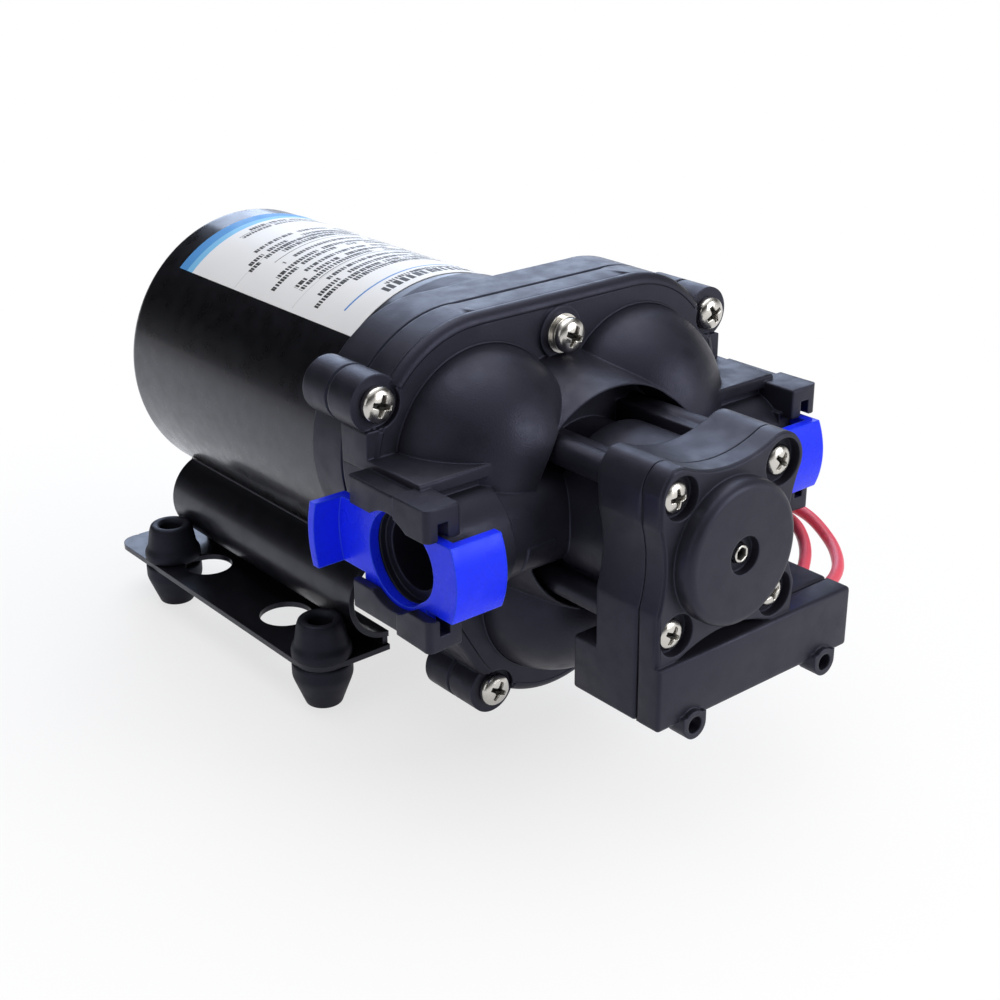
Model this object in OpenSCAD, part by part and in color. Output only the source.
// Caravan water pump: a three-chamber diaphragm pump with a direct current motor,
// a pressure switch, two push-in hose ports with slide clips, and a footed base.
// Millimetres. The origin is on the floor, in the middle of the four feet.
// +Z is up, -Y is the front (the pressure switch), +Y the rear (the motor).

/* [Motor] */
// Height of the motor's axis over the floor
axis_z = 68; // [66:0.5:72]
// Outer diameter of the motor can
can_d = 76; // [74:0.5:77]
// Wall of the motor can
can_wall = 1.8; // [1.4:0.1:2.2]
// Length of the motor can
can_len = 94.5; // [92:0.5:104]
// Front edge of the can, from the middle of the feet
can_front = -45.5; // [-46:0.5:-45]
// Radius of the rolled rear edge of the can
can_edge_r = 3; // [2:0.5:4]
// Opening radius in the can's rolled rear end
can_lip_r = 33.5; // [32:0.5:34]
// Diameter of the motor shaft
shaft_d = 8; // [7:0.5:9]
// Outer diameter of the motor's ball bearings
bearing_d = 22; // [20:0.5:24]
// Width of the motor's ball bearings
bearing_w = 7; // [6:0.5:8]
// Diameter of the armature core
core_d = 49; // [46:0.5:50]
// Length of the armature core
core_len = 38; // [34:0.5:40]
// Diameter of the commutator
commutator_d = 20; // [18:0.5:22]
// Length of the magnets
magnet_len = 46; // [40:0.5:48]
// Radial gap between the armature core and the magnets
air_gap = 1.9; // [1.5:0.1:2.5]

/* [Base and feet] */
// Distance between the feet, side to side
foot_dx = 72.3; // [71:0.1:74]
// Distance between the feet, front to rear
foot_dy = 75.5; // [72:0.5:80]
// Height of the plate's underside over the floor
plate_z = 12; // [11:0.25:13]
// Thickness of the base sheet
plate_t = 1.5; // [1.2:0.1:2]
// Plate edge beyond the feet's centres, sideways and in front
plate_edge = 7.2; // [6.9:0.1:8]
// Plate edge beyond the rear feet's centres
plate_tail = 19.8; // [16:0.2:22]
// Length of the saddle
saddle_len = 88; // [80:1:89]
// Outer radius of the side beads
bead_r = 12; // [11.5:0.25:12.5]
// Largest radius of a foot
foot_r = 7.8; // [7.4:0.1:8.2]
// Height of a foot
foot_h = 23.6; // [22:0.2:26]
// Radius of the screw hole through a foot
foot_hole_r = 3; // [2.5:0.1:3.2]

/* [Head] */
// Distance of each chamber's centre from the axis
pitch = 26.5; // [26:0.1:27]
// Radius of the head's corners about the chambers' centres
corner_r = 29.5; // [29:0.1:29.8]
// Radius of the domes
dome_r = 22.75; // [22.4:0.05:22.9]
// Length of the neck between the can and the head
neck_len = 18.3; // [17.5:0.1:18.6]
// Outer radius of the neck
neck_r = 38.6; // [38.5:0.1:39]
// Thickness of the lower housing's flange
lower_t = 11.2; // [11:0.1:12]
// Thickness of the upper housing's flange
upper_t = 10.3; // [10:0.1:11]
// Rounding of the upper housing's front edge
head_edge_r = 2.5; // [1.5:0.25:3]
// Radius of the recess round the centre column
recess_r = 26; // [25.5:0.1:26.3]
// Height of the rim round that recess, from the head's front face
rim_h = 18.6; // [17:0.2:19]
// Distance from the head's front face to the switch
post_len = 35; // [34.6:0.2:38]
// Thickness of the housings' walls
wall = 2.5; // [2:0.1:3]

/* [Ports and clips] */
// Distance of the ports' axis from the head's front face
port_out = 13; // [12.5:0.25:13.5]
// Radius of the port's bore
port_r = 8.1; // [7.6:0.1:8.3]
// Depth of the port's bore
port_depth = 20; // [18:0.5:21]
// Outer face of the brackets, from the middle
bracket_x = 58.2; // [57.8:0.1:60]
// Thickness of the brackets
bracket_t = 8.6; // [8.4:0.1:9.2]
// Height of each bracket, over both rails
bracket_h = 31.6; // [31.2:0.1:33]
// Opening between a bracket's rails
bracket_gap = 17.4; // [17.2:0.1:18]
// Length of the bracket, front to rear
bracket_len = 27.2; // [26.8:0.2:29]
// Thickness of the slide clips
clip_t = 2.4; // [2.2:0.1:2.5]
// Travel of the slide clips between open and locked
clip_travel = 3.5; // [3:0.1:3.6]
// Radius of the clip's locking edge
clip_lock_r = 8.2; // [7.6:0.1:8.4]

/* [Pressure switch] */
// Distance of the switch screws from the axis, across and up
switch_s = 15.35; // [15.2:0.05:15.6]
// Radius of the switch's lobes round its screws
lobe_r = 6.5; // [6.4:0.1:6.8]
// Distance of the waists between the lobes from the axis
waist = 18.6; // [18.5:0.1:18.9]
// Depth of the switch body
switch_body_t = 12.6; // [12:0.2:14]
// Depth of the switch cover's rim
switch_cover_t = 5.9; // [5.6:0.1:6.4]
// Radius of the raised disc on the cover
disc_r = 16.2; // [15.8:0.1:16.3]
// Height of the raised disc
disc_h = 4.5; // [4.2:0.1:5]
// Left end of the switch box
box_x0 = -20.3; // [-21:0.1:-20]
// Right end of the switch box
box_x1 = 40.7; // [40:0.1:42]
// Underside of the switch box over the floor
box_z0 = 31.6; // [31:0.1:32]
// Height of the switch box
box_h = 14.9; // [14.6:0.1:15.4]
// Thread diameter of the adjusting screw
adjust_d = 4.5; // [4:0.1:4.8]
// Travel of the switch plunger
plunger_travel = 1; // [0.8:0.1:1.2]

/* [Screws and wires] */
// Shank diameter of the head screws
head_screw_d = 4; // [3.6:0.1:4.2]
// Head diameter of the head screws
head_screw_head_d = 8; // [7.6:0.1:8.2]
// Shank diameter of the switch screws
switch_screw_d = 3.5; // [3.2:0.1:3.8]
// Head diameter of the switch screws
switch_screw_head_d = 7; // [6.6:0.1:7.4]
// Diameter of the red wires
wire_d = 3; // [2.6:0.1:3.1]

/* [Wobble plate] */
// Tilt of the wobble plate
wob_tilt = 3; // [2:0.25:3.5]
// Outer diameter of the wobble plate's bearing
wob_bearing_d = 28; // [27:0.5:28.5]
// Bore of the wobble plate's bearing
wob_bearing_bore = 15; // [14:0.5:16]
// Thickness of the diaphragm
diaphragm_t = 1.5; // [1.2:0.1:1.8]
// Radius of the pistons
piston_r = 8.6; // [8:0.1:9]

/* [Clearances] */
// Radial gap of a running fit
run_gap = 0.05; // [0.03:0.01:0.08]
// Radial gap of a pressed or screwed fit
press_gap = 0.02; // [0.01:0.01:0.04]
// Gap round the sliding clips
slide_gap = 0.15; // [0.1:0.05:0.2]
// Gap between parts that don't touch
free_gap = 0.3; // [0.2:0.05:0.4]

/* [Hidden] */
$fn = 64;

can_r = can_d / 2;
can_inner = can_r - can_wall;
can_rear = can_front + can_len;
shaft_r = shaft_d / 2;
seam_gap = 0.7;
bell_flange_r = can_r - 0.8;
bell_flange_t = 3.2;
bell_spigot = 3.5;

head_screw_r = head_screw_d / 2;
head_screw_head_r = head_screw_head_d / 2;
head_screw_head_h = 2.8;
switch_screw_r = switch_screw_d / 2;
switch_screw_head_r = switch_screw_head_d / 2;
switch_screw_head_h = 2.4;
hole_gap = 0.25;

flange_rear = can_front - neck_len - seam_gap;
seam_y = flange_rear - lower_t;
head_front = seam_y - upper_t;
dome_y = head_front + 2;
rim_y = head_front - rim_h;
recess_floor = head_front - 8;
port_y = head_front - port_out;
switch_rear = head_front - post_len;
switch_seam = switch_rear - switch_body_t;
cover_front = switch_seam - switch_cover_t;
disc_front = cover_front - disc_h;
dome_angles = [150, 30, 270];
boss_out = corner_r + 0.9;
boss_r = 6.3;
seam_step = 0.4;
upper_boss = 8.7;
lower_boss = 9;
screw_end = 2;
top_boss_r = 5.5;
top_screw_z = axis_z + pitch / 2 + corner_r - 8.55;

bracket_front = port_y - 13.7;
bracket_rear = bracket_front + bracket_len;
bracket_in = bracket_x - bracket_t;
clip_x = bracket_x - 3 - clip_t;
clip_half = 12.3;
mouth_x = clip_x - free_gap;
sleeve_r = port_out - 0.2;
sleeve_len = 18;
tube_r = 11.6;

// The head screws' places: across, up, boss front and turn of the cross
corner_spots = [
    [150, 150, 18],
    [30, 30, 62],
    [270, 231.5, 30],
    [270, 308.5, 75]];
function dome_c(a) = [pitch * cos(a), axis_z + pitch * sin(a)];
function spot(s) = dome_c(s[0]) + boss_out * [cos(s[1]), sin(s[1])];

// A flat shape given across and up, made solid from y0 to y1
module along_y(y0, y1) {
    translate([0, y1, 0])
        rotate([90, 0, 0])
            linear_extrude(height = y1 - y0)
                children();
}

// A flat shape given front-to-rear and up, made solid from x0 to x1
module along_x(x0, x1) {
    translate([x0, 0, 0])
        rotate([90, 0, 90])
            linear_extrude(height = x1 - x0)
                children();
}

module rod_y(r, y0, y1) {
    translate([0, y0, 0])
        rotate([-90, 0, 0])
            cylinder(r = r, h = y1 - y0);
}

module rod_x(r, x0, x1) {
    translate([x0, 0, 0])
        rotate([0, 90, 0])
            cylinder(r = r, h = x1 - x0);
}

// A profile of radius and place, turned about the motor's axis
module lathe_y() {
    translate([0, 0, axis_z])
        rotate([-90, 0, 0])
            rotate_extrude()
                children();
}

module tube_y(r1, r0, y0, y1) {
    difference() {
        rod_y(r1, y0, y1);
        rod_y(r0, y0 - 1, y1 + 1);
    }
}

module both_sides() {
    children();
    mirror([1, 0, 0])
        children();
}

module four_corners(s) {
    for (sx = [-1, 1], sz = [-1, 1])
        translate([sx * s, 0, axis_z + sz * s])
            children();
}

// A box given by its low corner and its high corner
module block(p, q) {
    translate(p)
        cube(q - p);
}

// A pan head with a cross recess: the shank runs to +Y, the head rises to -Y
module pan_screw(r, head_r, head_h, len, turn) {
    dome = (head_r * head_r + head_h * head_h * 0.36) / (2 * head_h * 0.6);
    rod_y(r, -0.1, len);
    difference() {
        rotate([-90, 0, 0])
            rotate_extrude()
                intersection() {
                    translate([0, -head_h])
                        square([head_r, head_h]);
                    union() {
                        translate([0, -head_h + dome])
                            circle(r = dome);
                        translate([0, -head_h * 0.4])
                            square([head_r, head_h]);
                    }
                }
        for (a = [0, 90])
            rotate([0, turn + a, 0])
                block([-head_r * 0.13, -head_h - 1, -head_r * 0.56],
                    [head_r * 0.13, -head_h * 0.35, head_r * 0.56]);
    }
}

// A tube swept along points, as one closed surface
function unit(v) = v / norm(v);
function side_of(t) = unit(cross(t, abs(t[2]) > 0.9 ? [1, 0, 0] : [0, 0, 1]));
function carried(u, t) = unit(u - (u * t) * t);
function tangents(p) = [for (i = [0:len(p) - 1])
    unit(p[min(i + 1, len(p) - 1)] - p[max(i - 1, 0)])];
function sides(t, i = 0, u = undef) =
    i >= len(t) ? [] :
    let (v = i == 0 ? side_of(t[0]) : carried(u, t[i]))
    concat([v], sides(t, i + 1, v));
module swept(p, r, n) {
    t = tangents(p);
    u = sides(t);
    last = len(p) - 1;
    points = [for (i = [0:last], k = [0:n - 1])
        p[i] + r * (cos(360 * k / n) * u[i] + sin(360 * k / n) * cross(t[i], u[i]))];
    skin = [for (i = [0:last - 1], k = [0:n - 1], f = [0, 1])
        f == 0
            ? [i * n + k, (i + 1) * n + (k + 1) % n, i * n + (k + 1) % n]
            : [i * n + k, (i + 1) * n + k, (i + 1) * n + (k + 1) % n]];
    near = [for (k = [1:n - 2]) [0, k, k + 1]];
    far = [for (k = [1:n - 2]) [last * n, last * n + k + 1, last * n + k]];
    polyhedron(points = points, faces = concat(skin, near, far));
}

// Motor

winding_out = 8;
commutator_len = 14;
commutator_gap = 3.4;
bell_y1 = can_rear - can_wall;
bell_y0 = bell_y1 - 4.2;
rear_bearing_y = bell_y1 - bearing_w - 0.5;
commutator_y1 = rear_bearing_y - commutator_gap;
commutator_y0 = commutator_y1 - commutator_len;
core_y1 = commutator_y0 - free_gap - winding_out;
core_y0 = core_y1 - core_len;
magnet_y0 = (core_y0 + core_y1 - magnet_len) / 2;
front_bell_y = can_front;
front_bearing_y = front_bell_y - bell_flange_t - 4;
tie_r = 2;
tie_head_r = 3.6;
tie_x = can_lip_r - tie_head_r - free_gap;

module motor_can() {
    color([0.05, 0.05, 0.06])
        lathe_y()
            difference() {
                union() {
                    translate([0, can_front])
                        square([can_r, can_len - can_edge_r]);
                    translate([0, can_front])
                        square([can_r - can_edge_r, can_len]);
                    translate([can_r - can_edge_r, can_rear - can_edge_r])
                        circle(r = can_edge_r);
                }
                translate([-1, can_front - 1])
                    square([can_inner + 1, can_len - can_wall + 1]);
                translate([-1, can_front])
                    square([can_lip_r + 1, can_len + 1]);
            }
}

module rear_bell() {
    hub_r = bearing_d / 2 + 3;
    color([0.12, 0.12, 0.13])
        difference() {
            lathe_y() {
                translate([0, bell_y0])
                    square([can_inner - press_gap, bell_y1 - bell_y0]);
                translate([0, bell_y0])
                    square([can_lip_r - press_gap, can_rear - 0.6 - bell_y0]);
                translate([0, rear_bearing_y])
                    square([hub_r, can_rear + 1.5 - rear_bearing_y]);
            }
            translate([0, 0, axis_z]) {
                rod_y(bearing_d / 2 + press_gap, rear_bearing_y - 1, bell_y1 - 0.5);
                rod_y(shaft_r + 1, bell_y1 - 1, can_rear - 0.5);
                for (s = [-1, 1])
                    translate([s * tie_x, 0, 0])
                        rod_y(tie_r + hole_gap, bell_y0 - 1, can_rear + 2);
                translate([0, 0, -24])
                    rod_y(4, bell_y0 - 1, can_rear + 2);
            }
        }
}

module front_bell() {
    hub_r = bearing_d / 2 + 3;
    color([0.6, 0.6, 0.62])
        difference() {
            lathe_y() {
                translate([0, front_bell_y - bell_flange_t])
                    square([bell_flange_r, bell_flange_t]);
                translate([0, front_bell_y - 1])
                    square([can_inner - press_gap, bell_spigot + 1]);
                translate([0, front_bearing_y - 1.2])
                    square([hub_r, front_bell_y - front_bearing_y]);
            }
            translate([0, 0, axis_z]) {
                rod_y(bearing_d / 2 + press_gap, front_bearing_y, front_bell_y + bell_spigot + 1);
                rod_y(shaft_r + 1.5, front_bearing_y - 3, front_bell_y);
                for (s = [-1, 1])
                    translate([s * tie_x, 0, 0])
                        rod_y(tie_r + press_gap, front_bell_y - 2, front_bell_y + bell_spigot + 1);
            }
        }
}

module magnets() {
    r1 = can_inner - press_gap;
    color([0.25, 0.25, 0.27])
        difference() {
            translate([0, 0, axis_z])
                tube_y(r1, core_d / 2 + air_gap, magnet_y0, magnet_y0 + magnet_len);
            block([-can_r, magnet_y0 - 1, axis_z - 12], [can_r, magnet_y0 + magnet_len + 1, axis_z + 12]);
        }
}

module armature_core() {
    slots = 10;
    color([0.45, 0.45, 0.47])
        translate([0, 0, axis_z])
            difference() {
                rod_y(core_d / 2, core_y0, core_y1);
                rod_y(shaft_r + press_gap, core_y0 - 1, core_y1 + 1);
                for (i = [0:slots - 1])
                    rotate([0, i * 360 / slots, 0]) {
                        block([-1, core_y0 - 1, core_d / 2 - 6], [1, core_y1 + 1, core_d / 2 + 1]);
                        translate([0, 0, core_d / 2 - 7])
                            rod_y(3, core_y0 - 1, core_y1 + 1);
                    }
            }
}

module windings() {
    lumps = 10;
    color([0.72, 0.36, 0.16])
        for (y = [core_y0 - winding_out, core_y1])
            along_y(y, y + winding_out)
                translate([0, axis_z])
                    difference() {
                        union() {
                            circle(r = core_d / 2 - 5);
                            for (i = [0:lumps - 1])
                                rotate((i + 0.5) * 360 / lumps)
                                    translate([core_d / 2 - 6.5, 0])
                                        circle(r = 5);
                        }
                        circle(r = shaft_r + 2);
                    }
}

module commutator() {
    bars = 10;
    color([0.8, 0.5, 0.25])
        translate([0, 0, axis_z])
            difference() {
                rod_y(commutator_d / 2, commutator_y0, commutator_y1);
                rod_y(shaft_r + press_gap, commutator_y0 - 1, commutator_y1 + 1);
                for (i = [0:bars - 1])
                    rotate([0, i * 360 / bars, 0])
                        block([-0.3, commutator_y0 + 2, commutator_d / 2 - 1.5],
                            [0.3, commutator_y1 + 1, commutator_d / 2 + 1]);
            }
}

module shaft() {
    color([0.75, 0.75, 0.77])
        translate([0, 0, axis_z])
            rod_y(shaft_r, wob_y - 5.5, bell_y1 - 1);
}

card_y = commutator_y0 + 9.5;
module brush_card() {
    holder_r0 = commutator_d / 2 + 1.2;
    color([0.45, 0.25, 0.12])
        difference() {
            union() {
                translate([0, 0, axis_z])
                    rod_y(can_inner - 2.5, card_y, card_y + 2);
                for (s = [-1, 1]) {
                    block([min(s * holder_r0, s * 24), card_y - 8, axis_z - 4],
                        [max(s * holder_r0, s * 24), card_y + 1, axis_z + 4]);
                    translate([0, 0, axis_z + s * (can_lip_r - 7.5)])
                        rod_y(3, card_y + 1, bell_y0);
                }
            }
            translate([0, 0, axis_z]) {
                rod_y(commutator_d / 2 + 1.5, card_y - 1, card_y + 3);
                for (s = [-1, 1])
                    translate([s * tie_x, 0, 0])
                        rod_y(tie_r + 1.3, card_y - 1, card_y + 3);
            }
            block([-25, card_y - 6, axis_z - 2.2], [25, card_y - 1.5, axis_z + 2.2]);
        }
}

module brushes() {
    r0 = commutator_d / 2 + run_gap;
    color([0.2, 0.2, 0.2])
        for (s = [0, 180])
            translate([0, 0, axis_z])
                rotate([0, s, 0])
                    difference() {
                        block([r0 - 1, card_y - 5.9, -2.1], [r0 + 10, card_y - 1.6, 2.1]);
                        rod_y(r0, card_y - 7, card_y);
                    }
}

// A ball bearing as its two rings, closed by its shields
module ball_bearing(outer_r, bore_r, w) {
    difference() {
        rod_y(outer_r, 0, w);
        rod_y(bore_r, -1, w + 1);
        for (y = [-1, w - 0.5])
            translate([0, y, 0])
                tube_y(outer_r - 2.2, bore_r + 2.2, 0, 1.5);
    }
}

module rear_bearing() {
    color([0.7, 0.7, 0.72])
        translate([0, rear_bearing_y, axis_z])
            ball_bearing(bearing_d / 2, shaft_r + run_gap, bearing_w);
}

module front_bearing() {
    color([0.7, 0.7, 0.72])
        translate([0, front_bearing_y, axis_z])
            ball_bearing(bearing_d / 2, shaft_r + run_gap, bearing_w);
}

module bell_screws() {
    color([0.7, 0.7, 0.72])
        both_sides()
            translate([tie_x, 0, axis_z]) {
                rod_y(tie_r, front_bell_y - 1.5, can_rear);
                difference() {
                    rod_y(tie_head_r, can_rear - 0.6, can_rear + 1.8);
                    for (a = [0, 90])
                        rotate([0, a + 20, 0])
                            block([-0.5, can_rear + 0.6, -2.1], [0.5, can_rear + 3, 2.1]);
                }
            }
}

module lead_gland() {
    color([0.08, 0.08, 0.08])
        translate([0, 0, axis_z - 24])
            difference() {
                union() {
                    rod_y(4 - press_gap, bell_y0, can_rear);
                    rod_y(5.4, can_rear - 0.6, can_rear + 1.6);
                }
                rod_y(2.6, bell_y0 - 1, can_rear + 3);
            }
}

label_from = -43;
label_to = 100;
label_t = 0.15;
module label() {
    r0 = can_r + press_gap;
    color([0.93, 0.94, 0.95])
        translate([0, 0, axis_z])
            intersection() {
                tube_y(r0 + label_t, r0, can_front + 3, can_rear - 11);
                along_y(can_front, can_rear)
                    polygon(concat([[0, 0]], [for (k = [0:8])
                        let (a = label_from + (label_to - label_from) * k / 8)
                        1.3 * can_r * [sin(a), cos(a)]]));
            }
}

// Base plate and feet

groove_r = 5.4;
foot_top_r = 5.7;
plate_front = -foot_dy / 2 - plate_edge;
plate_rear = foot_dy / 2 + plate_tail;
plate_side = foot_dx / 2 + plate_edge;
saddle_y0 = can_front + 1.5;
cradle_r = can_r + 0.05;
bead_x = 19.4;
bead_z = axis_z - 40.7;
riser_x = bead_x + 0.8;
bead_from = -88;
bead_to = 66;

module sector(r, a0, a1) {
    polygon(concat([[0, 0]], [for (k = [0:6])
        let (a = a0 + (a1 - a0) * k / 6)
        1.5 * r * [cos(a), sin(a)]]));
}

module base_plate() {
    color([0.07, 0.07, 0.08]) {
        both_sides()
            translate([0, 0, plate_z])
                linear_extrude(height = plate_t)
                    difference() {
                        flange_plan();
                        for (s = [-1, 1])
                            translate([foot_dx / 2, s * foot_dy / 2])
                                circle(r = groove_r + press_gap);
                        translate([foot_dx / 2 - 4.8, -foot_dy / 2 + 24.2])
                            circle(r = 6.9);
                        translate([foot_dx / 2 - 4.7, foot_dy / 2 - 11.7])
                            circle(r = 6.5);
                    }
        along_y(saddle_y0, saddle_y0 + saddle_len)
            saddle_section();
    }
}

module flange_plan() {
    r0 = 6.8;
    r1 = 5;
    union() {
        translate([riser_x, plate_front + r0])
            square([plate_side - riser_x, plate_rear - r1 - plate_front - r0]);
        translate([riser_x, plate_front])
            square([plate_side - r0 - riser_x, plate_rear - plate_front]);
        translate([plate_side - r0, plate_front + r0])
            circle(r = r0);
        translate([plate_side - r1, plate_rear - r1])
            circle(r = r1);
    }
}

module saddle_section() {
    for (s = [0, 1])
        mirror([s, 0, 0]) {
            translate([riser_x, plate_z])
                square([plate_t, bead_z - bead_r + plate_t - plate_z]);
            translate([bead_x, bead_z])
                difference() {
                    intersection() {
                        circle(r = bead_r);
                        sector(bead_r, bead_from, bead_to);
                    }
                    circle(r = bead_r - plate_t);
                }
        }
    difference() {
        intersection() {
            translate([0, axis_z])
                circle(r = cradle_r + plate_t);
            translate([-bead_x - 4.9, 0])
                square([2 * bead_x + 9.8, axis_z - 20]);
        }
        translate([0, axis_z])
            circle(r = cradle_r);
    }
}

module foot(sx, sy) {
    lip = 1;
    color([0.11, 0.11, 0.12])
        translate([sx * foot_dx / 2, sy * foot_dy / 2, 0])
            rotate_extrude()
                polygon([
                    [foot_hole_r, 0],
                    [4.65, 0],
                    [foot_r - 0.5, plate_z - 5],
                    [foot_r, plate_z - 4],
                    [foot_r, plate_z],
                    [groove_r, plate_z],
                    [groove_r, plate_z + plate_t],
                    [foot_r, plate_z + plate_t],
                    [foot_r, plate_z + plate_t + 2.2],
                    [foot_r - 0.7, plate_z + plate_t + 3.4],
                    [foot_top_r + 0.4, foot_h - 1.5],
                    [foot_top_r - lip / 2, foot_h],
                    [foot_hole_r + lip, foot_h],
                    [foot_hole_r, foot_h - lip]]);
}
module front_left_foot() { foot(-1, -1); }
module front_right_foot() { foot(1, -1); }
module rear_left_foot() { foot(-1, 1); }
module rear_right_foot() { foot(1, 1); }

// Pump head

// Outline of the head: three equal corners about the chambers, and the straight edges
// between them, a little inside their tangents so that each edge meets its corners in a crease
edge_in = 0.05;
module head_outline(r) {
    for (a = dome_angles)
        translate(dome_c(a))
            circle(r = r);
    polygon([for (a = dome_angles, s = [1, -1])
        dome_c(a) + (r - edge_in) * [cos(a + 60 * s), sin(a + 60 * s)]]);
}

// The edge of each housing at the seam, set in round the head and its bosses
module seam_outline() {
    head_outline(corner_r - seam_step);
    for (s = corner_spots)
        translate(spot(s))
            circle(r = boss_r - seam_step);
}

// Outline of the hollow and of the plates in it, clear of the top screw's boss
module inner_outline(gap) {
    difference() {
        head_outline(corner_r - wall - 1.5 - gap);
        translate([0, top_screw_z])
            circle(r = top_boss_r + gap);
    }
}

module at_spots() {
    for (s = corner_spots)
        translate([spot(s)[0], 0, spot(s)[1]])
            rotate([0, s[2], 0])
                children();
}

module lower_housing() {
    f = 4;
    inner_r = neck_r - 4.4;
    color([0.09, 0.09, 0.11])
        difference() {
            union() {
                lathe_y() {
                    translate([0, flange_rear])
                        square([neck_r, can_front - seam_gap - flange_rear]);
                    difference() {
                        translate([0, flange_rear - 1])
                            square([neck_r + f, f + 1]);
                        translate([neck_r + f - 0.2, flange_rear + f - 0.2])
                            circle(r = f);
                    }
                }
                along_y(seam_y + seam_step, flange_rear)
                    head_outline(corner_r);
                along_y(seam_y, seam_y + 1)
                    seam_outline();
                at_spots()
                    rod_y(boss_r, seam_y + 1.5 * seam_step, seam_y + lower_boss);
                wire_boss();
            }
            along_y(seam_y - 1, flange_rear - 1)
                inner_outline(0);
            translate([0, 0, axis_z]) {
                rod_y(inner_r, flange_rear - 2, can_front + 1);
                rod_y(bell_flange_r + press_gap, can_front - bell_flange_t, can_front + 1);
            }
            at_spots()
                rod_y(head_screw_r + press_gap, seam_y - 1, seam_y + lower_boss - screw_end + 0.5);
            translate([0, 0, top_screw_z])
                rod_y(head_screw_r + press_gap, seam_y - 1, seam_y + lower_boss - screw_end + 0.5);
            wire_boss_hole();
        }
}

// The boss that takes the wires into the neck
gland_angle = -24;
gland_y = can_front - 8.2;
gland_r = 5.2;
module at_gland() {
    translate([0, gland_y, axis_z])
        rotate([0, -gland_angle, 0])
            children();
}
module wire_boss() {
    at_gland()
        rod_x(gland_r, neck_r - 5, neck_r + 2);
}
module wire_boss_hole() {
    at_gland()
        rod_x(gland_r - 1.6, neck_r - 8, neck_r + 4);
}
module wire_gland() {
    color([0.07, 0.07, 0.07])
        at_gland()
            difference() {
                union() {
                    rod_x(gland_r - 1.6 - press_gap, neck_r - 4, neck_r + 3.5);
                    rod_x(gland_r, neck_r + 2, neck_r + 3.5);
                }
                for (p = wire_holes)
                    translate([0, p[0], p[1]])
                        rod_x(wire_d / 2 + press_gap, neck_r - 6, neck_r + 5);
            }
}
wire_holes = [[1.7, 0.2], [-1.7, -0.2]];

// Wobble plate, its bearing and its cam, made level and then tilted
wob_y = -64;
wob_hub_r = wob_bearing_d / 2 + 3.2;
race_w = 7;
race_mid = (wob_bearing_d + wob_bearing_bore) / 4;
ball_r = 1.9;
pad_front = -9.7;
module in_wobble() {
    translate([0, wob_y, axis_z])
        rotate([wob_tilt, 0, 0])
            children();
}
module at_pads() {
    for (a = dome_angles)
        translate([pitch * cos(a), 0, pitch * sin(a)])
            children();
}

module cam() {
    color([0.55, 0.55, 0.58])
        difference() {
            union() {
                in_wobble() {
                    rod_y(wob_bearing_bore / 2 - press_gap, -race_w / 2, race_w / 2);
                    rod_y(wob_bearing_bore / 2 + 1.5, race_w / 2, race_w / 2 + 1.5);
                }
                translate([0, wob_y, axis_z])
                    rod_y(7, race_w / 2, 7);
            }
            translate([0, 0, axis_z])
                rod_y(shaft_r + press_gap, wob_y - 7, wob_y + 9);
        }
}

module race_groove() {
    rotate([-90, 0, 0])
        rotate_extrude()
            translate([race_mid, 0])
                circle(r = ball_r + run_gap);
}

module wobble_inner_race() {
    color([0.7, 0.7, 0.72])
        in_wobble()
            difference() {
                tube_y(race_mid - 1, wob_bearing_bore / 2, -race_w / 2, race_w / 2);
                race_groove();
            }
}

module wobble_outer_race() {
    color([0.7, 0.7, 0.72])
        in_wobble()
            difference() {
                tube_y(wob_bearing_d / 2, race_mid + 1, -race_w / 2, race_w / 2);
                race_groove();
            }
}

module wobble_balls() {
    balls = 10;
    color([0.8, 0.8, 0.82])
        in_wobble()
            for (i = [0:balls - 1])
                rotate([0, i * 360 / balls, 0])
                    translate([race_mid, 0, 0])
                        sphere(r = ball_r);
}

module wobble_plate() {
    color([0.85, 0.85, 0.8])
        in_wobble()
            difference() {
                union() {
                    rod_y(wob_hub_r, -7.5, race_w / 2);
                    at_pads()
                        rod_y(piston_r, pad_front, -5);
                    for (a = dome_angles)
                        rotate([0, -a, 0])
                            block([6, -8, -5], [pitch, -4.5, 5]);
                }
                rod_y(wob_bearing_d / 2 + press_gap, -race_w / 2, race_w);
                rod_y(wob_bearing_bore / 2 + 1, -12, 0);
                at_pads()
                    rod_y(2 + press_gap, pad_front - 1, -6);
            }
}

cup_r = piston_r + 1.4;
module diaphragm() {
    color([0.15, 0.15, 0.15])
        difference() {
            union() {
                difference() {
                    along_y(seam_y, seam_y + diaphragm_t)
                        inner_outline(0.2);
                    at_pads_world()
                        rod_y(cup_r + 3.2, seam_y - 1, seam_y + diaphragm_t + 1);
                }
                at_pads_world()
                    tube_y(cup_r + 3.8, cup_r - 0.6, seam_y - 1.5, seam_y + diaphragm_t + 1);
                in_wobble()
                    at_pads()
                        rod_y(cup_r, pad_front - diaphragm_t, pad_front);
            }
            in_wobble()
                at_pads()
                    rod_y(2 + press_gap, pad_front - diaphragm_t - 1, pad_front + 1);
        }
}
module at_pads_world() {
    for (a = dome_angles)
        translate([dome_c(a)[0], 0, dome_c(a)[1]])
            children();
}

module pistons() {
    color([0.85, 0.85, 0.8])
        in_wobble()
            at_pads()
                translate([0, pad_front - diaphragm_t, 0])
                    tube_y(piston_r, 2 + press_gap, -3, 0);
}

module piston_screws() {
    color([0.72, 0.72, 0.74])
        in_wobble()
            at_pads()
                translate([0, pad_front - diaphragm_t - 3, 0])
                    pan_screw(2, 3.5, 2, 3 + diaphragm_t + 3, 20);
}

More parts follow.
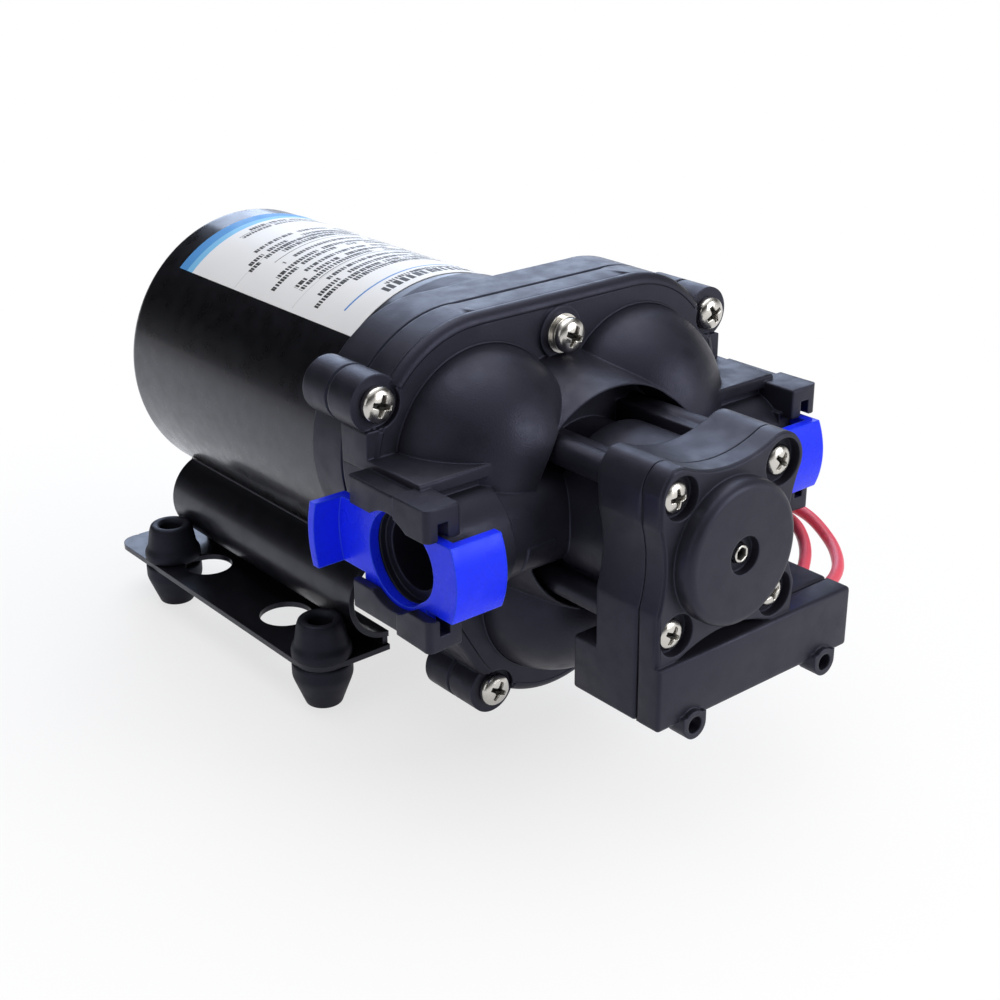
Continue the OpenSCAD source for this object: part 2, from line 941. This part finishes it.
// Valve plate: a rim clamped in the upper housing, with a cup over each piston
valve_rim_t = 3.3;
chamber_r = cup_r + 4;
chamber_wall = 1.8;
chamber_floor = seam_y - 10.5;
gasket_t = 0.8;
module valve_plate() {
    color([0.8, 0.8, 0.76])
        difference() {
            union() {
                along_y(seam_y - valve_rim_t, seam_y)
                    inner_outline(0.2);
                at_pads_world()
                    rod_y(chamber_r + chamber_wall, chamber_floor - chamber_wall, seam_y - 1);
                translate([0, 0, axis_z])
                    rod_y(12, chamber_floor - chamber_wall, seam_y - 1);
            }
            at_pads_world() {
                rod_y(chamber_r, chamber_floor, seam_y + 1);
                for (k = [0:5])
                    rotate([0, k * 60, 0])
                        translate([5, 0, 0])
                            rod_y(1.2, chamber_floor - 3, chamber_floor + 1);
                rod_y(1.4 + press_gap, chamber_floor - 3, chamber_floor + 1);
            }
            translate([0, 0, axis_z]) {
                rod_y(5, seam_y - valve_rim_t, seam_y + 1);
                rod_y(1.6 + press_gap, chamber_floor - 3, seam_y);
                for (a = dome_angles)
                    rotate([0, 90 - a, 0])
                        translate([0, 0, 7.5])
                            rod_y(1.2, chamber_floor - 3, seam_y + 1);
            }
        }
}

module inlet_valves() {
    color([0.75, 0.35, 0.2])
        at_pads_world() {
            rod_y(7, chamber_floor, chamber_floor + 1);
            rod_y(1.4, chamber_floor - chamber_wall, chamber_floor + 0.5);
            translate([0, -chamber_wall, 0])
                rod_y(2.2, chamber_floor - 1.2, chamber_floor);
        }
}

module outlet_valve() {
    y = chamber_floor - chamber_wall;
    color([0.75, 0.35, 0.2])
        translate([0, 0, axis_z]) {
            rod_y(10, y - 1, y);
            rod_y(1.6, y - 0.5, seam_y - valve_rim_t + 0.5);
            rod_y(2.8, seam_y - valve_rim_t, seam_y - valve_rim_t + 1.5);
        }
}

module head_gasket() {
    color([0.1, 0.1, 0.1])
        along_y(seam_y - valve_rim_t - gasket_t, seam_y - valve_rim_t)
            difference() {
                inner_outline(0.2);
                for (a = dome_angles)
                    translate(dome_c(a))
                        circle(r = chamber_r + chamber_wall + 2);
                translate([0, axis_z])
                    circle(r = 14);
            }
}

module upper_housing() {
    color([0.09, 0.09, 0.11])
        difference() {
            union() {
                head_shell();
                ports();
                both_sides()
                    bracket();
                column();
            }
            head_hollow();
            port_hollows();
            column_hollows();
        }
}

column_r = 16;
flange_r = 18.3;
flange_len = 16;
module head_shell() {
    for (a = [0, 30, 60, 90])
        along_y(head_front + head_edge_r * (1 - sin(a)), seam_y - seam_step - (a == 0 ? 0 : 1))
            head_outline(corner_r - head_edge_r * (1 - cos(a)) + (a == 90 ? 0.4 : 0));
    along_y(seam_y - 1, seam_y)
        seam_outline();
    at_spots()
        rod_y(boss_r, seam_y - upper_boss, seam_y - seam_step);
    both_sides() {
        block([30, gusset_front - 1.4, ledge_z - 3], [ledge_x, seam_y - seam_step, ledge_z]);
        block([ledge_x - 8, head_front + 0.4, ledge_z - 1],
            [ledge_x, seam_y - seam_step, ledge_z + 6]);
    }
    translate([0, 0, top_screw_z])
        rod_y(6, head_front - 0.8, seam_y);
    difference() {
        union() {
            domes(dome_r, head_front + 1);
            translate([0, rim_y, axis_z])
                rotate([0, -rim_seam, 0])
                    rotate([-90, 0, 0])
                        cylinder(r1 = recess_r + 0.4, r2 = recess_r + 3.8, h = rim_h + 1);
        }
        translate([0, 0, axis_z])
            rotate([0, -rim_seam, 0])
                rod_y(recess_r, disc_front, recess_floor);
    }
}

// The domes of a given radius, down to a given depth
rim_seam = 325;
module domes(r, y1) {
    for (a = dome_angles)
        translate([dome_c(a)[0], dome_y, dome_c(a)[1]])
            rotate([0, -a, 0])
                rotate([-90, 0, 0])
                    rotate_extrude()
                        intersection() {
                            circle(r = r);
                            translate([0, -r - 1])
                                square([r + 1, r + 1 + y1 - dome_y]);
                        }
}

module head_hollow() {
    along_y(seam_y - valve_rim_t - gasket_t, seam_y + 1)
        inner_outline(0);
    difference() {
        domes(dome_r - wall, head_front + 2);
        translate([0, 0, axis_z])
            rotate([0, -rim_seam, 0])
                rod_y(recess_r + wall, disc_front, recess_floor + wall);
    }
    for (a = dome_angles)
        translate([dome_c(a)[0], 0, dome_c(a)[1]])
            rod_y(chamber_r + chamber_wall + 0.6, head_front + 1, seam_y);
    translate([0, 0, axis_z])
        rod_y(13, recess_floor + wall + 0.5, seam_y);
    at_spots() {
        rod_y(head_screw_r + hole_gap, head_front - 5, seam_y + 1);
        rod_y(head_screw_head_r + 1.2, head_front - 1, seam_y - upper_boss);
    }
    translate([0, 0, top_screw_z])
        rod_y(head_screw_r + hole_gap, head_front - 5, seam_y + 1);
}

module ports() {
    translate([0, port_y, axis_z]) {
        both_sides() {
            rod_x(sleeve_r, mouth_x - sleeve_len, mouth_x);
            rod_x(tube_r, 5, mouth_x);
            intersection() {
                rod_x(tube_r + 0.3, 20, 32);
                block([22.5, -tube_r - 1, -7.5], [30, -5, -1.2]);
            }
        }
    }
}

module port_hollows() {
    translate([0, port_y, axis_z])
        both_sides() {
            rod_x(port_r, mouth_x - port_depth, mouth_x + 1);
            rod_x(port_r + 2.2, mouth_x - 1.6, mouth_x + 1);
            rod_x(5, 19, mouth_x - port_depth + 1);
            translate([22, 0, 0])
                rod_y(3.5, 0, -port_y + head_front);
        }
}

// A bracket: two slotted rails round the clip, and the plates that carry them
module bracket() {
    half = bracket_h / 2;
    gap = bracket_gap / 2;
    slot_x0 = clip_x - slide_gap;
    slot_x1 = clip_x + clip_t + slide_gap;
    slot_half = clip_half + slide_gap;
    difference() {
        union() {
            for (s = [-1, 1])
                rail(s, gap, half);
            translate([0, port_y, axis_z])
                block([mouth_x - 4, -sleeve_r + 2, -gap - 1], [mouth_x, bracket_rear - port_y, gap + 1]);
            for (s = [-1, 1])
                gusset(s, half);
        }
        translate([0, 0, axis_z]) {
            block([slot_x0, bracket_front - 1, -slot_half], [slot_x1, bracket_rear + 1, slot_half]);
            block([slot_x1 - 1, bracket_front - 1, -gap], [bracket_x + 1, bracket_rear + 1, gap]);
            translate([0, port_y, 0])
                rod_x(port_r + 2.9, slot_x1 - 1, bracket_x + 1);
        }
    }
}

module rail(s, gap, half) {
    z0 = axis_z + min(s * gap, s * half);
    z1 = axis_z + max(s * gap, s * half);
    step = 0.5;
    round_r = 1.5;
    translate([0, 0, z0])
        linear_extrude(height = z1 - z0) {
            translate([bracket_in, bracket_front])
                square([bracket_t - round_r, port_y - 2.6 - bracket_front]);
            translate([bracket_in, bracket_front + round_r])
                square([bracket_t, port_y - 2.6 - bracket_front - round_r]);
            translate([bracket_x - round_r, bracket_front + round_r])
                circle(r = round_r);
        }
    block([bracket_in, port_y - 3, z0 + (s < 0 ? step : 0)],
        [bracket_x - step, bracket_rear, z1 - (s > 0 ? step : 0)]);
}

gusset_front = port_y - 3.2;
gusset_x = 34.4;
ledge_x = -dome_c(dome_angles[0])[0] + corner_r + 0.25;
ledge_z = axis_z + bracket_h / 2 + 1.2;
module gusset(s, half) {
    t = 7;
    z0 = axis_z + (s > 0 ? half - t : -half);
    translate([0, 0, z0])
        linear_extrude(height = t)
            polygon([
                [gusset_x, gusset_front],
                [bracket_in + 1, gusset_front],
                [bracket_in + 1, bracket_rear],
                [bracket_in - 5, head_front + 3],
                [20, head_front + 3],
                [20, head_front - 8]]);
}

// The column with its wide front, the posts that carry the switch, and their webs
post_r = 3.3;
module column() {
    translate([0, 0, axis_z]) {
        rod_y(column_r, switch_rear + 1, recess_floor + 2);
        rod_y(flange_r, switch_rear, switch_rear + flange_len);
    }
    for (sx = [-1, 1], sz = [-1, 1])
        translate([sx * switch_s, 0, axis_z + sz * switch_s]) {
            rod_y(post_r, switch_rear, recess_floor + 2);
            block([min(0, -sx * 5), switch_rear, -post_r + 0.8],
                [max(0, -sx * 5), recess_floor + 2, post_r - 0.8]);
            rotate([0, atan2(-sz, sx), 0])
                block([-5, switch_rear, -1.6], [0, recess_floor + 2, 1.6]);
        }
}

pocket_r = 14;
module column_hollows() {
    four_corners(switch_s)
        rod_y(switch_screw_r + press_gap, switch_rear - 1, switch_rear + 9);
    translate([0, 0, axis_z]) {
        rod_y(2.5, switch_rear - 1, recess_floor + wall + 1);
        rod_y(10, switch_rear - 1, switch_rear + 2);
    }
}

module head_screws() {
    reach = upper_boss + lower_boss - screw_end;
    color([0.78, 0.77, 0.74]) {
        at_spots()
            translate([0, seam_y - upper_boss, 0])
                pan_screw(head_screw_r, head_screw_head_r, head_screw_head_h, reach, 0);
        translate([0, head_front - 0.8 - washer_t - spring_t, top_screw_z])
            pan_screw(head_screw_r, head_screw_head_r, head_screw_head_h,
                reach + 0.8 + washer_t + spring_t, 25);
    }
}

washer_t = 0.8;
washer_r = 4.5;
spring_t = 1.1;
module flat_washer() {
    color([0.7, 0.7, 0.7])
        translate([0, 0, top_screw_z])
            tube_y(washer_r, head_screw_r + hole_gap, head_front - 0.8 - washer_t, head_front - 0.8);
}

module spring_washer() {
    y = head_front - 0.8 - washer_t;
    color([0.7, 0.7, 0.7])
        translate([0, 0, top_screw_z])
            difference() {
                tube_y(3.9, head_screw_r + hole_gap, y - spring_t, y);
                rotate([0, 40, 0])
                    block([-0.4, y - 3, 0], [0.4, y + 1, 5]);
            }
}

// Slide clips: a plate that runs in the bracket's slots, with a finger tab at each end
tab_out = 19.3;
tab_half = 8.3;
rear_out = 23.4;
rear_half = 7.5;
tab_t = 2;
clip_setback = 4.7;
module clip_face() {
    difference() {
        union() {
            translate([bracket_front - port_y + clip_setback, -clip_half])
                square([bracket_len - 1.2 - clip_setback, 2 * clip_half]);
            intersection() {
                circle(r = tab_out);
                translate([-30, -tab_half])
                    square([30, 2 * tab_half]);
            }
            intersection() {
                circle(r = rear_out);
                translate([0, -rear_half])
                    square([30, 2 * rear_half]);
            }
        }
        circle(r = port_r + 2.2);
        translate([-clip_travel, 0])
            circle(r = clip_lock_r);
    }
}

module clip_tab(r, y0, y1, half, x0, x1) {
    along_x(x0, x1)
        intersection() {
            difference() {
                circle(r = r);
                circle(r = r - tab_t);
            }
            translate([y0, -half])
                square([y1 - y0, 2 * half]);
        }
}

module slide_clip() {
    color([0.1, 0.14, 0.85])
        translate([0, port_y, axis_z]) {
            along_x(clip_x, clip_x + clip_t)
                clip_face();
            clip_tab(tab_out, -30, 0, tab_half, clip_x - 10.6, clip_x + clip_t);
            clip_tab(rear_out, 0, 30, rear_half, clip_x, clip_x + 9);
        }
}
module right_clip() { slide_clip(); }
module left_clip() { mirror([1, 0, 0]) slide_clip(); }

// Pressure switch

box_wall = 1.7;
well_depth = 2.5;
box_z1 = box_z0 + box_h;
box_back_z = box_z0 + 13.2;
box_inner_z = box_back_z - 1.3;
box_rear = switch_rear + 6.8;
box_front = cover_front - 1.1;
waist_r = (switch_s * switch_s + pow(waist - switch_s, 2) - lobe_r * lobe_r)
    / (2 * (lobe_r - waist + switch_s));

waist_bite = 0.05;
shoulder_r = 7.5;

// Outline of the switch: four lobes joined by hollow waists, straight on the left and
// carried down to the box under the lower lobes
module switch_outline(grow) {
    l = lobe_r + grow;
    h = switch_s + l * (waist + waist_r - switch_s) / (waist_r + lobe_r);
    difference() {
        union() {
            for (sx = [-1, 1], sz = [-1, 1])
                translate([sx * switch_s, axis_z + sz * switch_s])
                    circle(r = l);
            for (a = [0, 1])
                translate([a ? -switch_s : -h, axis_z - (a ? h : switch_s)])
                    square([a ? 2 * switch_s : 2 * h, a ? 2 * h : 2 * switch_s]);
        }
        for (a = [0:90:270])
            translate([(waist + waist_r) * cos(a), axis_z + (waist + waist_r) * sin(a)])
                circle(r = waist_r - grow + waist_bite);
        translate([box_x0 - grow - 20, 0])
            square([20, 2 * axis_z]);
        difference() {
            translate([-switch_s - l - 1, axis_z + switch_s])
                square([l + 3, l + 2]);
            translate([box_x0 + shoulder_r - 0.05, axis_z + switch_s])
                circle(r = shoulder_r + grow);
        }
    }
    for (x = [[box_x0 - grow, -switch_s], [switch_s, switch_s + l]])
        translate([x[0], box_z1 - 0.5])
            square([x[1] - x[0], axis_z - switch_s - box_z1 + 0.5]);
}

arm_x = 2.5;
spring_bore = 6.6;
plunger_y = switch_rear - 1.2;
plunger_t = 2.2;
spring_y = plunger_y - plunger_t;
chamber_y = spring_y - plunger_travel - 1.1;
module switch_body() {
    color([0.09, 0.09, 0.11])
        difference() {
            union() {
                along_y(switch_seam, switch_rear)
                    switch_outline(0);
                block([box_x0, switch_seam, box_z0], [box_x1, switch_rear, box_z1]);
                block([box_x0, switch_seam, box_z0], [box_x1, box_rear, box_back_z]);
            }
            translate([0, 0, axis_z]) {
                rod_y(pocket_r, switch_rear - 1.2, switch_rear + 1);
                rod_y(10, chamber_y, switch_rear);
                rod_y(spring_bore, switch_seam - 1, switch_rear);
            }
            block([box_x0 + box_wall, switch_seam - 1, box_z0 + box_wall],
                [box_x1 - box_wall, box_rear - box_wall, box_inner_z]);
            block([-arm_x - 1, chamber_y, box_z0 + 4], [arm_x + 1, switch_rear - 1.2, axis_z - 6]);
            four_corners(switch_s)
                rod_y(switch_screw_r + hole_gap, switch_seam - 1, switch_rear + 1);
            for (p = box_holes)
                translate([0, p[0], p[1]])
                    rod_x(wire_d / 2 + press_gap, box_x1 - 5, box_x1 + 1);
        }
}
box_holes = [[-125, 41.9], [-131.6, 41.6]];

module switch_cover() {
    f = 2;
    color([0.1, 0.1, 0.12])
        difference() {
            union() {
                along_y(cover_front, switch_seam - 0.3)
                    switch_outline(-0.4);
                along_y(cover_front + 0.7, switch_seam - 0.3)
                    switch_outline(0);
                along_y(switch_seam - 0.6, switch_seam)
                    switch_outline(-0.3);
                block([box_x0, box_front, box_z0], [box_x1, switch_seam - 0.3, box_z1]);
                block([box_x0 + 0.3, switch_seam - 0.6, box_z0 + 0.3],
                    [box_x1 - 0.3, switch_seam, box_z1 - 0.3]);
                lathe_y() {
                    translate([0, disc_front + f])
                        square([disc_r, disc_h + 1 - f]);
                    translate([0, disc_front])
                        square([disc_r - f, disc_h]);
                    translate([disc_r - f, disc_front + f])
                        circle(r = f);
                }
                for (x = [box_x0 + 9.8, box_x1 - 9.2])
                    translate([x, 0, box_z0 - 0.8]) {
                        rod_y(3.3, box_front - 1.4, box_front + 3.6);
                        block([-3.3, box_front - 1.4, 0], [3.3, box_front + 3.6, 2.4]);
                    }
            }
            for (x = [box_x0 + 9.8, box_x1 - 9.2])
                translate([x, 0, box_z0 - 0.8])
                    rod_y(2, box_front - 3, box_front + 5);
            translate([0, 0, axis_z]) {
                rod_y(4.3, disc_front - 1, disc_front + 2.2);
                rod_y(adjust_d / 2 + run_gap, disc_front - 1, switch_seam);
                rod_y(spring_bore, disc_front + 4.7, switch_seam + 1);
            }
            four_corners(switch_s)
                rod_y(switch_screw_r + hole_gap, disc_front - 1, switch_seam + 1);
            for (w = [[-1, -1], [-1, 1], [1, -1], [1, 1]])
                translate([w[0] * switch_s + (w[0] < 0 ? 0.75 : 0), 0, axis_z + w[1] * switch_s])
                    rod_y(switch_screw_head_r + (w[0] < 0 ? 1.3 : 1.8), disc_front - 1,
                        cover_front + well_depth);
            block([box_x0 + box_wall, box_front + box_wall, box_z0 + box_wall],
                [box_x1 - box_wall, switch_seam + 1, box_inner_z]);
        }
}

module switch_diaphragm() {
    color([0.13, 0.13, 0.13])
        translate([0, 0, axis_z])
            rod_y(pocket_r - 0.2, switch_rear - 1.2, switch_rear);
}

module switch_plunger() {
    color([0.85, 0.85, 0.82]) {
        translate([0, 0, axis_z]) {
            rod_y(9.4, spring_y, plunger_y);
            rod_y(3, plunger_y - 4.5, plunger_y);
        }
        block([-arm_x, spring_y, micro_z0 + 6], [arm_x, plunger_y - 0.8, axis_z - 5]);
    }
}

seat_y = switch_seam;
module switch_spring() {
    turns = 4;
    steps = 14;
    wire_r = 0.5;
    mean_r = 4.6;
    y0 = seat_y + wire_r;
    rise = spring_y - wire_r - y0;
    path = [for (i = [0:turns * steps])
        let (a = 360 * i / steps)
        [mean_r * cos(a), y0 + rise * i / (turns * steps), mean_r * sin(a)]];
    color([0.75, 0.75, 0.77])
        translate([0, 0, axis_z])
            swept(path, wire_r, 6);
}

seat_t = 1.8;
module spring_seat() {
    color([0.6, 0.6, 0.62])
        translate([0, 0, axis_z]) {
            rod_y(spring_bore - run_gap, seat_y - seat_t, seat_y);
            rod_y(3.4, seat_y - 1, seat_y + 1.8);
        }
}

module adjusting_screw() {
    hex_r = adjust_d * 0.3;
    color([0.78, 0.77, 0.74])
        translate([0, 0, axis_z])
            difference() {
                rod_y(adjust_d / 2, disc_front + 0.9, seat_y - seat_t);
                translate([0, disc_front, 0])
                    rotate([-90, 0, 0])
                        cylinder(r = hex_r, h = 3, $fn = 6);
            }
}

micro_x = 10;
micro_z0 = box_z0 + box_wall + 0.2;
micro_y1 = box_rear - box_wall;
micro_y0 = plunger_y - 0.2;
module micro_switch() {
    color([0.12, 0.12, 0.13])
        difference() {
            block([-micro_x, micro_y0, micro_z0], [micro_x, micro_y1, micro_z0 + 9]);
            translate([0, 0, micro_z0 + 7])
                rod_y(1.3 + run_gap, micro_y0 - 1, micro_y0 + 3);
        }
}

module micro_button() {
    color([0.75, 0.1, 0.1])
        translate([0, 0, micro_z0 + 7])
            rod_y(1.3, micro_y0 - 0.6, micro_y0 + 1.8);
}

terminal_z = [micro_z0 + 2.2, micro_z0 + 6.6];
module terminals() {
    color([0.8, 0.65, 0.3])
        for (z = terminal_z)
            block([micro_x, micro_y1 - 3.2, z - 1.4], [micro_x + 6, micro_y1 - 2.6, z + 1.4]);
}

module switch_screws() {
    color([0.78, 0.77, 0.74])
        for (sx = [-1, 1], sz = [-1, 1])
            translate([sx * switch_s, cover_front + well_depth, axis_z + sz * switch_s])
                pan_screw(switch_screw_r, switch_screw_head_r, switch_screw_head_h,
                    switch_body_t + switch_cover_t - well_depth + 8, 35 + 20 * sx - 15 * sz);
}

// The red wires, from the micro switch to the motor
module red_wire(path) {
    color([0.8, 0.12, 0.16])
        swept(path, wire_d / 2, 8);
}
module long_wire() { red_wire(long_path); }
module short_wire() { red_wire(short_path); }
wire_x0 = micro_x + 6;
long_path = [
    [wire_x0, -118.8, terminal_z[0]], [wire_x0 + 3, -118.8, terminal_z[0]],
    [24, -121.3, 36.6], [29, -126, 38.3], [34, -130.3, 40.5], [37.5, -131.5, 41.4],
    [41, -131.6, 41.6], [44, -131.5, 42.2], [47, -131, 43.2], [50, -129.4, 43.7],
    [53, -127, 43.9], [56.7, -123, 44.4], [59.2, -119, 45.1], [60.5, -114.7, 46.7],
    [61.8, -110, 47.7], [62.4, -104.5, 48.1], [61.9, -98.5, 48.2], [60.3, -92, 48.2],
    [57, -84, 48], [53.2, -76, 48.1], [50.3, -68, 48.2], [48.9, -61, 47.8],
    [48, -56.3, 47.5], [46.6, -53.3, 47.6], [43.8, -52.1, 48.7], [40.3, -52, 50.3],
    [36.5, -52, 52], [33, -52, 53.5]];
short_path = [
    [wire_x0, -118.8, terminal_z[1]], [wire_x0 + 3, -118.8, terminal_z[1]],
    [25, -120.7, 40.8], [31, -123.2, 41.4], [36, -124.8, 41.8], [41, -125, 41.9],
    [43.3, -124.2, 43], [45.8, -122.7, 44.1], [50, -119.6, 44.5], [53.4, -116, 45.4],
    [55, -113, 47], [56, -109.5, 48.1], [56.5, -104, 48.6], [55.8, -97, 48.7],
    [53.8, -89, 48.7], [50.6, -81, 48.9], [47.5, -73, 49.3], [45.6, -66.5, 49.5],
    [45, -61, 49], [44.3, -57.5, 48.5], [42.5, -55.7, 48.9], [40.1, -55.4, 49.9],
    [36.5, -55.4, 51.5], [32.8, -55.4, 53.2]];

motor_can();
rear_bell();
front_bell();
magnets();
armature_core();
windings();
commutator();
shaft();
brush_card();
brushes();
rear_bearing();
front_bearing();
bell_screws();
lead_gland();
label();
base_plate();
front_left_foot();
front_right_foot();
rear_left_foot();
rear_right_foot();
lower_housing();
cam();
wobble_inner_race();
wobble_balls();
wobble_outer_race();
wobble_plate();
diaphragm();
pistons();
piston_screws();
valve_plate();
inlet_valves();
outlet_valve();
head_gasket();
upper_housing();
head_screws();
spring_washer();
flat_washer();
left_clip();
right_clip();
switch_body();
switch_cover();
switch_diaphragm();
switch_plunger();
switch_spring();
spring_seat();
adjusting_screw();
micro_switch();
micro_button();
terminals();
switch_screws();
wire_gland();
long_wire();
short_wire();
